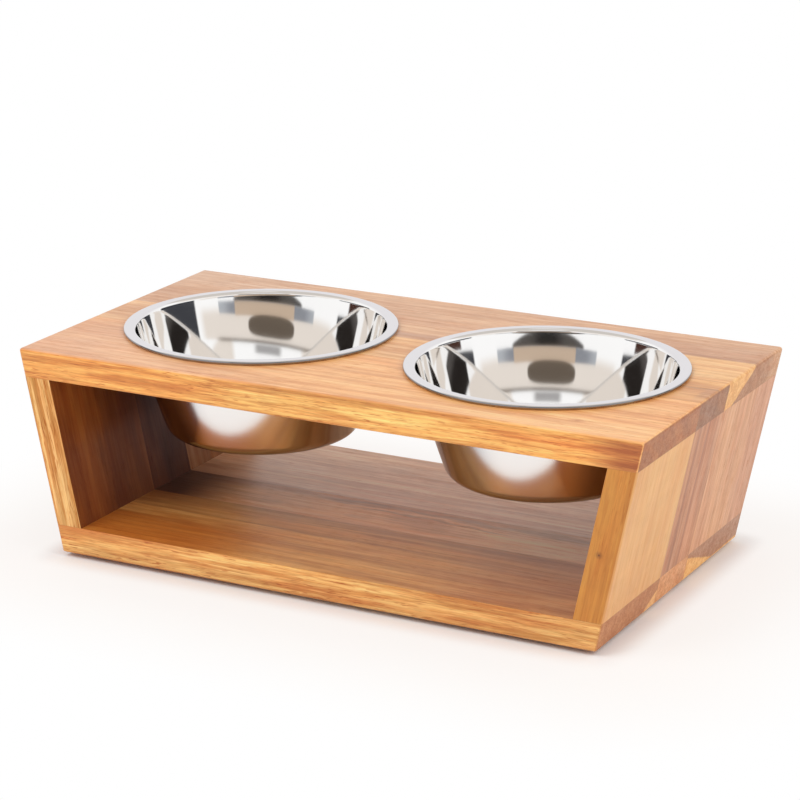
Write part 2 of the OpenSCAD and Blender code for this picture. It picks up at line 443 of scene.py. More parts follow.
# %% [markdown]
# ## From rings to a mesh
#
# Each piece here is a closed outline that is carried along a path: a stave's cross-section
# along its grain, or a bowl's profile round its axis. The outline at every stop of the path
# is one ring of points, and a grid of rings is one numpy array. Two helpers turn such an
# array into a mesh. Both measure the volume that they enclose, which tells at once if a
# skin is inside out or open.

# %% Rings to a mesh
def volume_of(points, faces):
    """Sum over the faces' triangles of the volume that each makes with the origin."""
    corners = points[faces]
    first = corners[:, 0]
    total = 0.0
    for k in range(1, faces.shape[1] - 1):
        cross = np.cross(corners[:, k], corners[:, k + 1])
        total += np.einsum("ij,ij->i", first, cross).sum() / 6.0
    return total


def quads_between(rings, stops):
    """Quads of a grid that closes round its rings: each joins two neighbours on two rings."""
    number = np.arange(rings * stops).reshape(rings, stops)
    following = np.roll(number, -1, axis=1)
    return np.stack([number[:-1], following[:-1], following[1:], number[1:]], axis=-1).reshape(-1, 4)


def make_object(name, points, quads, caps, sharp):
    """A smooth mesh object from points in millimetres, with edges over the sharp angle left crisp."""
    mesh = bpy.data.meshes.new(name)
    mesh.from_pydata((points * MM).tolist(), [], quads.tolist() + caps)
    mesh.update()
    mesh.shade_smooth()
    mesh.set_sharp_from_angle(angle=math.radians(sharp))
    made = bpy.data.objects.new(name, mesh)
    bpy.context.scene.collection.objects.link(made)
    return made


print("two rings of four points are joined by", len(quads_between(2, 4)), "quads")

# %% Rings of a stave to a closed skin
def stave(name, rings):
    """A skin over rings of points (stops, points, 3), closed at both ends by a flat face."""
    stops, around = rings.shape[:2]
    points = rings.reshape(-1, 3)
    quads = quads_between(stops, around)
    ends = np.array([np.arange(around)[::-1], np.arange(around) + (stops - 1) * around])
    volume = volume_of(points, quads) + volume_of(points, ends)
    if volume < 0:
        quads = quads[:, ::-1]
        ends = ends[:, ::-1]
    made = make_object(name, points, quads, ends.tolist(), 35.0)
    print(f"{name}: {len(points)} points, {abs(volume) / 1000:.2f} cm3")
    return made


# %% [markdown]
# ## Eased outlines
#
# A sanded board has no sharp edge: its corners are small arcs that catch a thin line of
# light. The outline of each stave is a four-cornered shape in which every corner has its own
# radius, also at every stop along the board, so that an arc can shrink to nothing where a
# stave meets its neighbour.

# %% Outline with eased corners
ARC_STEPS = 7
SHOULDER = 0.35


def eased_outline(corners, radii):
    """Arcs in the corners of an outline, for all stops at once.

    corners has the shape (stops, 4, 2) and radii (stops, 4). The centre of an arc lies on the
    line that halves the corner, radius / sin(half) from it. Its points turn evenly from one
    side's normal to the other's. A point just beyond each end of an arc keeps the flat flat.
    """
    back = np.roll(corners, 1, axis=1) - corners
    ahead = np.roll(corners, -1, axis=1) - corners
    back = back / np.linalg.norm(back, axis=2, keepdims=True)
    ahead = ahead / np.linalg.norm(ahead, axis=2, keepdims=True)
    half = np.arccos(np.clip((back * ahead).sum(axis=2), -1.0, 1.0)) / 2.0
    middle = (back + ahead) / np.linalg.norm(back + ahead, axis=2, keepdims=True)
    centre = corners + middle * (radii / np.sin(half))[:, :, None]
    reach = (radii / np.tan(half))[:, :, None]
    first = corners + back * reach - centre
    last = corners + ahead * reach - centre
    sweep = (math.pi - 2.0 * half)[:, :, None]
    parts = [corners + back * (reach + SHOULDER)]
    for share in np.linspace(0.0, 1.0, ARC_STEPS + 1):
        spread = (np.sin((1.0 - share) * sweep) * first + np.sin(share * sweep) * last) / np.sin(sweep)
        parts.append(centre + spread)
    parts.append(corners + ahead * (reach + SHOULDER))
    outline = np.stack(parts, axis=2)
    return outline.reshape(len(corners), -1, 2)


test = eased_outline(np.array([[[0.0, 0], [10, 0], [10, 10], [0, 10]]]), np.full((1, 4), 2.0))
print("an eased square has", test.shape[1], "points and spans", np.ptp(test[0], axis=0))

# %% [markdown]
# ## Boards along the case
#
# The front and back staves of the top board, and all three of the bottom board, run the
# whole length. Their outline lies across the case, and is carried from the left end to the
# right one. The last few rings follow a quarter circle, so that the slanted ends are eased
# like the long edges. Where a bowl hangs in the board, the outline's inner side moves with
# the round hole.

# %% Rings of a board that runs the whole length
BEYOND = 1000.0
FLAT = 9.0
INSIDE_POSTS = 150.0
SQUARE = 0.02


def end_setback(turns, board_angle):
    """How far an eased end edge takes a face back, at each turn of the ball that rolls along it."""
    return EASED * (1.0 - np.cos(np.maximum(board_angle - turns, 0.0)))


def hole_edge(x, seam):
    """Depth of a bowl's hole at a place along the board, or the seam where that is nearer."""
    from_centre = np.minimum(np.abs(x - BOWL_X), np.abs(x + BOWL_X))
    inside = np.maximum(HOLE_RADIUS**2 - from_centre**2, 0.0)
    return np.maximum(np.sqrt(inside), abs(seam)) * np.sign(seam)


def long_board(name, y_low, y_high, z_low, z_high, eased, holes=None):
    """A stave carried along X between the two leaning ends.

    eased holds the radius of the four long edges: low y and low z, high y and low z, high y
    and high z, low y and high z. holes names the side, -1 or 1, whose seam the holes cut.
    """
    is_top = z_low > SHELF_TOP
    turns = np.linspace(0.0, math.pi / 2 + LEAN, 8)
    depth = EASED * (1.0 - np.cos(turns))
    upper_angle = math.pi / 2 + LEAN if is_top else 0.0
    lower_angle = 0.0 if is_top else math.pi / 2 - LEAN
    reach = 188.0 if is_top else 170.0
    inner = [np.linspace(-reach, reach, 48)]
    if holes is not None:
        seam = y_high if holes > 0 else y_low
        start = math.asin(abs(seam) / HOLE_RADIUS)
        round_hole = np.linspace(start, math.pi - start, 57)
        for side in (-1.0, 1.0):
            inner.append(side * BOWL_X + HOLE_RADIUS * np.cos(round_hole))
    x_inner = np.unique(np.round(np.concatenate(inner), 6))
    stops = len(x_inner) + 2 * len(turns)
    end = np.concatenate([turns, np.full(len(x_inner), FLAT), turns[::-1]])
    back = np.concatenate([depth, np.zeros(len(x_inner)), depth[::-1]])
    x_mid = np.concatenate([np.full(len(turns), -BEYOND), x_inner, np.full(len(turns), BEYOND)])
    low_side = np.full(stops, y_low)
    high_side = np.full(stops, y_high)
    if holes is not None and holes > 0:
        high_side = hole_edge(x_mid, y_high)
    if holes is not None and holes < 0:
        low_side = hole_edge(x_mid, y_low)
    outer_front = EASED in (eased[0], eased[3])
    outer_back = EASED in (eased[1], eased[2])
    low_side = low_side + (end_setback(end, math.pi / 2) if outer_front else 0.0)
    high_side = high_side - (end_setback(end, math.pi / 2) if outer_back else 0.0)
    bottom = z_low + end_setback(end, lower_angle)
    top = z_high - end_setback(end, upper_angle)
    corners = np.stack([
        np.stack([low_side, bottom], axis=1),
        np.stack([high_side, bottom], axis=1),
        np.stack([high_side, top], axis=1),
        np.stack([low_side, top], axis=1),
    ], axis=1)
    shrink = np.sin(np.minimum(end, math.pi / 2))[:, None]
    between_posts = (np.abs(x_mid) < INSIDE_POSTS)[:, None]
    radii = np.array(eased)[None, :] * np.ones((stops, 1))
    radii = np.where((radii == ARRIS) & ~between_posts, SQUARE, radii)
    radii = np.maximum(radii * np.where(radii == EASED, shrink, 1.0), SQUARE)
    outline = eased_outline(corners, radii)
    y = outline[:, :, 0]
    z = outline[:, :, 1]
    half_length = HALF_FOOT + (z - CASE_FOOT) * math.tan(LEAN) - back[:, None] / math.cos(LEAN)
    at_end = (np.abs(x_mid) >= BEYOND)[:, None]
    x = np.where(at_end, np.sign(x_mid)[:, None] * half_length, x_mid[:, None])
    return stave(name, np.stack([x, y, z], axis=2))


# %% The staves that run the whole length
wood = {}
wood["top_stave_front"] = long_board(
    "top_front_stave", SEAMS[0], SEAMS[1], BOARD_UNDER, CASE_TOP, [ARRIS, SQUARE, SQUARE, EASED], holes=1)
wood["top_stave_back"] = long_board(
    "top_back_stave", SEAMS[2], SEAMS[3], BOARD_UNDER, CASE_TOP, [SQUARE, ARRIS, EASED, SQUARE], holes=-1)
wood["bottom_stave_front"] = long_board(
    "bottom_front_stave", SEAMS[0], SEAMS[1], CASE_FOOT, SHELF_TOP, [EASED, SQUARE, SQUARE, ARRIS])
wood["bottom_stave_middle"] = long_board(
    "bottom_middle_stave", SEAMS[1], SEAMS[2], CASE_FOOT, SHELF_TOP, [SQUARE, SQUARE, SQUARE, SQUARE])
wood["bottom_stave_back"] = long_board(
    "bottom_back_stave", SEAMS[2], SEAMS[3], CASE_FOOT, SHELF_TOP, [SQUARE, EASED, ARRIS, SQUARE])

# %% [markdown]
# ## The cut middle stave
#
# The two holes cut the middle stave of the top board into a left, a centre and a right
# piece. Here the outline stands along the case and is carried from the front seam to the
# back one: its one side is the round edge of a hole, and its other side is the leaning end
# or the edge of the other hole.

# %% The three pieces of the middle stave
def middle_piece(name, place):
    """A short stave carried along Y. place is -1 for left, 0 for centre and 1 for right."""
    y = np.linspace(SEAMS[1], SEAMS[2], 49)
    hole = np.sqrt(HOLE_RADIUS**2 - y**2)
    end_low = HALF_FOOT + (BOARD_UNDER - CASE_FOOT) * math.tan(LEAN)
    if place == 0:
        low = -BOWL_X + hole
        sides = [low, -low, -low, low]
        radii = [SQUARE, SQUARE, SQUARE, SQUARE]
    elif place > 0:
        near = BOWL_X + hole
        sides = [near, np.full(len(y), end_low), np.full(len(y), HALF_TOP), near]
        radii = [SQUARE, SQUARE, EASED, SQUARE]
    else:
        near = -BOWL_X - hole
        sides = [np.full(len(y), -end_low), near, near, np.full(len(y), -HALF_TOP)]
        radii = [SQUARE, SQUARE, SQUARE, EASED]
    levels = [BOARD_UNDER, BOARD_UNDER, CASE_TOP, CASE_TOP]
    corners = np.stack([
        np.stack([side, np.full(len(y), level)], axis=1) for side, level in zip(sides, levels)
    ], axis=1)
    outline = eased_outline(corners, np.array(radii)[None, :] * np.ones((len(y), 1)))
    depth = np.broadcast_to(y[:, None], outline.shape[:2])
    return stave(name, np.stack([outline[:, :, 0], depth, outline[:, :, 1]], axis=2))


wood["top_stave_left"] = middle_piece("top_left_stave", -1)
wood["top_stave_centre"] = middle_piece("top_centre_stave", 0)
wood["top_stave_right"] = middle_piece("top_right_stave", 1)

# %% [markdown]
# ## Leaning end panels
#
# Each end is three staves that stand on the bottom board and carry the top one. Their
# outline is level, and it moves outwards as it rises, which gives the lean. Only the outer
# upright edges at the front and the back are rounded like the rest of the case.

# %% End panels
def end_stave(name, side, y_low, y_high, place):
    """A stave carried up the slant. place is -1 for front, 0 for middle and 1 for back."""
    z = np.linspace(SHELF_TOP, BOARD_UNDER, 25)
    outer = HALF_FOOT + (z - CASE_FOOT) * math.tan(LEAN)
    inner = outer - PANEL_LEVEL
    corners = np.stack([
        np.stack([inner, np.full(len(z), y_low)], axis=1),
        np.stack([outer, np.full(len(z), y_low)], axis=1),
        np.stack([outer, np.full(len(z), y_high)], axis=1),
        np.stack([inner, np.full(len(z), y_high)], axis=1),
    ], axis=1)
    radii = [SQUARE, SQUARE, SQUARE, SQUARE]
    if place < 0:
        radii = [ARRIS, EASED, SQUARE, SQUARE]
    if place > 0:
        radii = [SQUARE, SQUARE, EASED, ARRIS]
    outline = eased_outline(corners, np.array(radii)[None, :] * np.ones((len(z), 1)))
    level = np.broadcast_to(z[:, None], outline.shape[:2])
    return stave(name, np.stack([side * outline[:, :, 0], outline[:, :, 1], level], axis=2))


for side, word in ((-1, "left"), (1, "right")):
    wood[f"{word}_stave_front"] = end_stave(f"{word}_front_stave", side, SEAMS[0], SEAMS[1], -1)
    wood[f"{word}_stave_middle"] = end_stave(f"{word}_middle_stave", side, SEAMS[1], SEAMS[2], 0)
    wood[f"{word}_stave_back"] = end_stave(f"{word}_back_stave", side, SEAMS[2], SEAMS[3], 1)

# %% [markdown]
# ## Bowls
#
# A feeder bowl is pressed from one sheet. Its edge is curled under into a bead, then comes
# a narrow, slightly crowned rim, a tight bend, a wall that leans in more and more, and a
# round corner into the flat floor. The middle line of the sheet is written as that chain of
# arcs, offset by half the sheet to both sides, and turned round the axis.

# %% Profile of a bowl
SHEET = 0.9
BEAD = 1.15
BOWL_SEAT = CASE_TOP + 0.2
RIM_RADIUS = 83.0
WALL_RADIUS = 76.5
BEND = 2.2
LEAN_TOP = 0.23
LEAN_BOTTOM = 0.36
CORNER_RADIUS = 8.5
BOWL_DEPTH = 64.0


def arc(middle, radius, start, end, steps):
    """Points on an arc, with the direction of travel, as rows of radius, level and angle."""
    angle = np.radians(np.linspace(start, end, steps))
    ahead = angle + (math.pi / 2 if end > start else -math.pi / 2)
    return np.stack([middle[0] + radius * np.cos(angle), middle[1] + radius * np.sin(angle), ahead], axis=1)


def bowl_profile():
    """Closed profile of the sheet: the inner face from the floor's middle to the bead, and back."""
    lean_at_top = math.atan(LEAN_TOP)
    lean_at_foot = math.atan(LEAN_BOTTOM)
    rim_level = 2 * BEAD - SHEET / 2
    wall_radius = WALL_RADIUS - SHEET / 2
    bend_middle = (wall_radius + BEND * math.cos(lean_at_top), rim_level - BEND)
    wall_level = bend_middle[1] + BEND * math.sin(lean_at_top)
    floor_level = -BOWL_DEPTH - 0.2 + SHEET / 2
    drop = wall_level - floor_level - CORNER_RADIUS * (1.0 - math.sin(lean_at_foot))
    foot = wall_radius - drop * (LEAN_TOP + LEAN_BOTTOM) / 2
    corner = (foot - CORNER_RADIUS * math.cos(lean_at_foot), floor_level + CORNER_RADIUS)
    bead = arc((RIM_RADIUS - BEAD, BEAD), BEAD - SHEET / 2, 200, 450, 30)
    bend = arc(bend_middle, BEND, 90, 180 - math.degrees(lean_at_top), 20)
    share = np.linspace(0, 1, 9)[1:-1, None]
    flat = bead[-1:] + (bend[:1] - bead[-1:]) * share
    flat[:, 2] = math.pi
    down = np.linspace(0, 1, 61)[1:-1]
    wall = np.stack([
        wall_radius - drop * (LEAN_TOP * down + (LEAN_BOTTOM - LEAN_TOP) * down**2 / 2),
        wall_level - drop * down,
        1.5 * math.pi - np.arctan(LEAN_TOP + (LEAN_BOTTOM - LEAN_TOP) * down),
    ], axis=1)
    round_foot = arc(corner, CORNER_RADIUS, -math.degrees(lean_at_foot), -90, 22)
    round_foot[:, 2] = round_foot[:, 2] % (2 * math.pi)
    plate_radius = np.linspace(corner[0], 0.0, 18)[1:]
    plate = np.stack([plate_radius, np.full(17, floor_level), np.full(17, math.pi)], axis=1)
    line = np.concatenate([bead, flat, bend, wall, round_foot, plate])
    left = np.stack([-np.sin(line[:, 2]), np.cos(line[:, 2])], axis=1)
    under = line[:, :2] + left * SHEET / 2
    upper = line[:, :2] - left * SHEET / 2
    return under, upper


under, upper = bowl_profile()
print("profile of", len(under), "points a side, from radius", under[0].round(2), "to", under[-1].round(2))

# %% [markdown]
# ## Turned pieces
#
# A spun bowl and a moulded foot are both the same all round, so one helper turns a profile
# round its axis. Ring and ring are joined by quads, and a fan of triangles closes each pole.

# %% Turn the profile round its axis
def turned(name, profile, centre, steps, sharp=35.0):
    """A closed skin of revolution. The profile starts and ends on the axis, where a fan closes it."""
    turn = np.linspace(0.0, 2.0 * math.pi, steps, endpoint=False)
    radius = profile[1:-1, 0]
    level = profile[1:-1, 1]
    rings = np.stack([
        centre[0] + radius[:, None] * np.cos(turn),
        centre[1] + radius[:, None] * np.sin(turn),
        centre[2] + level[:, None] * np.ones(steps),
    ], axis=2)
    count = len(radius) * steps
    poles = np.array([
        [centre[0], centre[1], centre[2] + profile[0, 1]],
        [centre[0], centre[1], centre[2] + profile[-1, 1]],
    ])
    points = np.concatenate([rings.reshape(-1, 3), poles])
    quads = quads_between(len(radius), steps)
    first = np.arange(steps)
    last = first + (len(radius) - 1) * steps
    fan_first = np.stack([np.roll(first, -1), first, np.full(steps, count)], axis=1)
    fan_last = np.stack([last, np.roll(last, -1), np.full(steps, count + 1)], axis=1)
    volume = volume_of(points, quads) + volume_of(points, fan_first) + volume_of(points, fan_last)
    if volume < 0:
        quads = quads[:, ::-1]
        fan_first = fan_first[:, ::-1]
        fan_last = fan_last[:, ::-1]
    made = make_object(name, points, quads, fan_first.tolist() + fan_last.tolist(), sharp)
    print(f"{name}: {len(points)} points, {abs(volume) / 1000:.2f} cm3")
    return made


bowl_skin = np.concatenate([under[::-1], upper])
bowls = {
    "left_bowl": turned("left_steel_bowl", bowl_skin, (-BOWL_X, 0.0, BOWL_SEAT), 256, 50.0),
    "right_bowl": turned("right_steel_bowl", bowl_skin, (BOWL_X, 0.0, BOWL_SEAT), 256, 50.0),
}

# %% [markdown]
# ## Feet
#
# A thin dark line under the case shows that it stands on small pads. Each is a soft disc
# that narrows a little and has a rounded lower edge.

# %% Feet
PAD_EDGE = 0.6
PAD_HEIGHT = 2.5
PAD_INSET = 20.0


def pad_profile():
    """Axis, underside, rounded edge, tapered side, top and axis again, as radius and level."""
    angle = np.linspace(-math.pi / 2, 0.0, 9)
    edge = np.stack([5.5 + PAD_EDGE * np.cos(angle), PAD_EDGE + PAD_EDGE * np.sin(angle)], axis=1)
    side = np.stack([np.linspace(6.16, 6.5, 6), np.linspace(0.9, PAD_HEIGHT, 6)], axis=1)
    underside = [[0.0, 0.0], [2.5, 0.0], [5.0, 0.0]]
    return np.concatenate([underside, edge, side, [[4.5, PAD_HEIGHT], [0.0, PAD_HEIGHT]]])


pads = {}
for side, word in ((-1, "left"), (1, "right")):
    for depth, place in ((-1, "front"), (1, "back")):
        centre = (side * (HALF_FOOT - PAD_INSET), depth * (SEAMS[3] - PAD_INSET), 0.0)
        pads[f"foot_{place}_{word}"] = turned(f"{place}_{word}_pad", pad_profile(), centre, 64)

# %% [markdown]
# ## Acacia
#
# A picture of wood pasted on a board looks wrong at its ends, because there the rings and the
# pores should go on into the depth. So this finish is solid: it asks of every point how far it
# lies along the grain, and how far from the middle of the tree that the stave was sawn from.
#
# - The rings are bands of uneven width at equal distances from that middle.
# - The fibres are a noise that is drawn out along the grain. Broader strands of the same
#   kind run from dark to pale, with thin pale lines and rust-coloured streaks between them.
# - The pores are short dark dashes on a long face, and dots on an end.
# - The boards that lie flat have a thin glossy skin of oil, which turns pale at a flat angle.
#
# What one stave has and the next hasn't, such as a band of pale sapwood, a dark streak or a
# knot, is set one by one at its place in millimetres.

# %% Places in a stave
SLANT_SIN = math.sin(LEAN)
SLANT_COS = math.cos(LEAN)


class Timber:
    """Where a point of a stave lies: along the grain, across it, and through the thickness."""

    def __init__(self, name, end_side):
        self.finish, self.bench = new_finish(name)
        texture = self.bench.node("ShaderNodeTexCoord")
        self.x, self.y, self.z = (part * (1.0 / MM) for part in self.bench.parts(texture["Object"]))
        facing = self.bench.parts(texture["Normal"])
        self.across = self.y
        if end_side:
            self.along = self.x * (end_side * SLANT_SIN) + self.z * SLANT_COS
            self.deep = self.x * (end_side * SLANT_COS) - self.z * SLANT_SIN
            self.end_cut = facing[2].size().rise(0.7, 0.95)
        else:
            self.along = self.x
            self.deep = self.z
            self.end_cut = facing[0].size().rise(0.7, 0.95)
        self.front_cut = facing[1].size().rise(0.7, 0.95)
        self.inner_face = (facing[0] * (-1.0 * (end_side or 1))).rise(0.5, 0.8)

    def grain(self, along, across, shift, detail=2.0, roughness=0.5):
        """A noise with so many waves a millimetre along the grain and across it."""
        spot = self.bench.point(
            self.along * along + shift,
            self.across * across + 0.37 * shift,
            self.deep * across - 0.61 * shift)
        return self.bench.noise(spot, detail, roughness)


print("along the grain of an end, a millimetre rises by", round(SLANT_COS, 4), "mm")

# %% [markdown]
# ## Marks of a stave
#
# Each mark below is a function that returns another one, which draws it later: it takes the
# stave's own places and the colour so far, and gives the colour with the mark in it.

# %% Marks of a stave
def streak(colour, line, half_width, start, end, strength, soft=12.0, sway=3.0):
    """A darker or lighter line along the grain, at a depth from the front, that sways a little."""

    def draw(timber, base, sway_noise):
        off = (timber.across - line + (sway_noise - 0.5) * (2.0 * sway)).size()
        mask = off.rise(half_width, 0.15 * half_width) * timber.along.within(start, end, soft) * strength
        return timber.bench.blend(base, paint(*colour), mask)

    return draw


def knot(colour, line, along, size, strength, deep=None):
    """A small dark eye with a soft ring round it, right through the stave or at one place in it."""

    def draw(timber, base, sway_noise):
        far = ((timber.across - line) * 1.5) ** 2.0 + (timber.along - along) ** 2.0
        if deep is not None:
            far = far + (timber.deep - deep) ** 2.0
        far = far.root()
        ring = far.rise(size * 3.2, size) * 0.45 + far.rise(size, 0.3 * size) * 0.55
        return timber.bench.blend(base, paint(*colour), ring * strength)

    return draw


def wedge(colour, across_share, height_share, start, soft, strength, sway, along=(-900.0, 900.0)):
    """Wood on the far side of a slanting plane along the grain, such as the sapwood of a stave."""

    def draw(timber, base, sway_noise):
        level = timber.across * across_share + timber.z * height_share + (sway_noise - 0.5) * (2.0 * sway)
        mask = level.rise(start - soft, start + soft) * timber.along.within(along[0], along[1], 30.0)
        return timber.bench.blend(base, paint(*colour), mask * strength)

    return draw


def patch(colour, across, along, strength, soft=(8.0, 25.0), faces="all"):
    """A tone over part of a stave, between two depths and two places along the grain.

    faces is "broad" for a tone that only the broad faces show, and "narrow" for the front.
    """

    def draw(timber, base, sway_noise):
        depth = timber.across + (sway_noise - 0.5) * (3.0 * soft[0])
        mask = depth.within(across[0], across[1], soft[0]) * timber.along.within(along[0], along[1], soft[1])
        if faces == "broad":
            mask = mask * (1.0 - timber.front_cut)
        if faces == "narrow":
            mask = mask * timber.front_cut
        return timber.bench.blend(base, paint(*colour), mask * strength)

    return draw


# %% [markdown]
# ## The finish of one stave
#
# The colour is built up in the order of the eye: the tone of the wood, its rings, the marks
# set by hand, and then the lines of the grain. A line multiplies what lies under it, red,
# green and blue each by its own number, so that it keeps the tone of the board.

# %% The finish of one stave
DARK_STRAND = (0.80, 0.63, 0.48)
PALE_STRAND = (1.16, 1.24, 1.36)
FIBRE = (0.84, 0.62, 0.46)
PALE_LINE = (1.14, 1.24, 1.45)
RUST = (0.92, 0.72, 0.60)
PORE = (0.66, 0.40, 0.26)
PALEST = (0.96, 0.96, 0.96)


def acacia(name, shift, heart, ring, pale, warm, dark, seams=(), end_side=0, contrast=1.0,
           edge=None, cut=None, inside=None, coat=0.0, shine=0.5, marks=()):
    """Rings round a heart outside the stave, drawn-out fibres, pores, marks and an oiled skin.

    shift takes each stave's noise from another place. heart is the middle of the tree, across
    and through the stave, and ring the width of a year. pale, warm and dark are the tones.
    edge is the colour of the narrow faces at the front and the back and cut that of the sawn ends,
    where they differ. inside is a painted shade: a darker colour for the face that an end panel
    turns to the case, for the shadow inside it.
    """
    t = Timber(name, end_side)
    bench = t.bench

    def lined(colour, tint, share):
        return bench.blend(colour, bench.tinted(colour, tint), share)

    slow = t.grain(0.006, 0.022, shift, 2.0)
    quick = t.grain(0.028, 0.11, shift + 5.0, 2.0)
    from_heart = ((t.across - heart[0]) ** 2.0 + (t.deep - heart[1]) ** 2.0).root()
    year = (from_heart + slow * 20.0 + quick * 3.0) / ring
    band = bench.noise(bench.point(year, t.along * 0.0015, shift), 3.0, 0.6).rise(0.34, 0.66)
    cloud = t.grain(0.009, 0.05, shift + 11.0, 2.0).rise(0.3, 0.7)
    fibre = t.grain(0.030, 0.62, shift + 3.0, 3.0, 0.6).rise(0.34, 0.66)
    hair = t.grain(0.06, 2.2, shift + 7.0, 2.0, 0.6)
    flicker = t.grain(0.11, 0.05, shift + 13.0, 2.0)
    crowd = t.grain(0.02, 0.12, shift + 17.0, 2.0).rise(0.35, 0.7)
    pores = t.grain(0.13, 1.5, shift + 19.0, 1.0).rise(0.58, 0.70) * (0.35 + 0.65 * crowd)
    bold = contrast * (0.8 + 0.9 * t.front_cut)

    colour = bench.blend(paint(*pale), paint(*warm), cloud)
    deep_tone = paint(*dark)
    if edge:
        colour = bench.blend(colour, paint(*edge), t.front_cut * 0.9)
        deep_tone = bench.blend(deep_tone, bench.shade(paint(*edge), 0.55), t.front_cut)
    if cut:
        colour = bench.blend(colour, paint(*cut), t.end_cut * 0.9)
    # painted shade: the face that an end panel turns to the case is darkened for the shadow inside it
    if inside:
        colour = bench.blend(colour, paint(*inside), t.inner_face)
    colour = bench.blend(colour, deep_tone, band * (0.5 * contrast) * (1.0 - 0.5 * t.end_cut))
    for draw in marks:
        colour = draw(t, colour, quick)
    strand = t.grain(0.011, 0.24, shift + 31.0, 4.0, 0.75).rise(0.38, 0.62)
    colour = lined(colour, DARK_STRAND, (1.0 - strand) * bold * 0.66)
    colour = lined(colour, PALE_STRAND, strand * bold * 0.60)
    colour = lined(colour, FIBRE, fibre * bold * 0.44)
    pale_line = t.grain(0.026, 0.9, shift + 29.0, 2.0).rise(0.55, 0.66)
    colour = lined(colour, PALE_LINE, pale_line * bold * 0.5)
    rust = t.grain(0.008, 0.13, shift + 37.0, 2.0).rise(0.50, 0.68)
    colour = lined(colour, RUST, rust * bold * 0.5)
    colour = lined(colour, PORE, pores * bold * 0.66)
    colour = bench.shade(colour, 1.10 + (hair - 0.5) * bold * 0.36 + (flicker - 0.5) * 0.16)
    colour = bench.node("ShaderNodeVectorMath", {"operation": "MINIMUM"}, {0: colour, 1: PALEST})[0]
    for seam in seams:
        glue = (t.y - seam).size().rise(0.30, 0.08) * t.grain(0.03, 0.2, shift + 23.0).rise(0.35, 0.6)
        colour = bench.blend(colour, paint(96, 58, 36), glue * 0.45)
    if end_side:
        for joint in (SHELF_TOP, BOARD_UNDER):
            colour = bench.blend(colour, paint(86, 50, 30), (t.z - joint).size().rise(0.32, 0.10) * 0.25)

    rough = 0.40 + (fibre - 0.5) * 0.08 + pores * 0.2 + t.end_cut * 0.1
    grooves = bench.relief(0.35, 0.00012, fibre * 0.3 + hair * 0.3 - pores * 0.8)
    bench.cover({
        "Base Color": colour, "Roughness": rough, "IOR": 1.5, "Specular IOR Level": shine,
        "Coat Weight": (1.0 - t.end_cut) * coat if coat else 0.0, "Coat Roughness": 0.30,
        "Normal": grooves})
    return t.finish


# %% [markdown]
# ## A finish for each stave
#
# The colours were read off the picture, stave by stave, and then set a little deeper,
# because the glossy skin adds white of its own. A board's narrow front face often shows a
# layer of the tree that its broad face hasn't reached, so it has a colour of its own. Every
# colour is a screen colour from 0 to 255, and every place is in millimetres.

# %% Colours and marks of the staves
SAP = (238, 187, 119)
UMBER = (134, 84, 54)
HONEY_EDGE = (247, 194, 105)

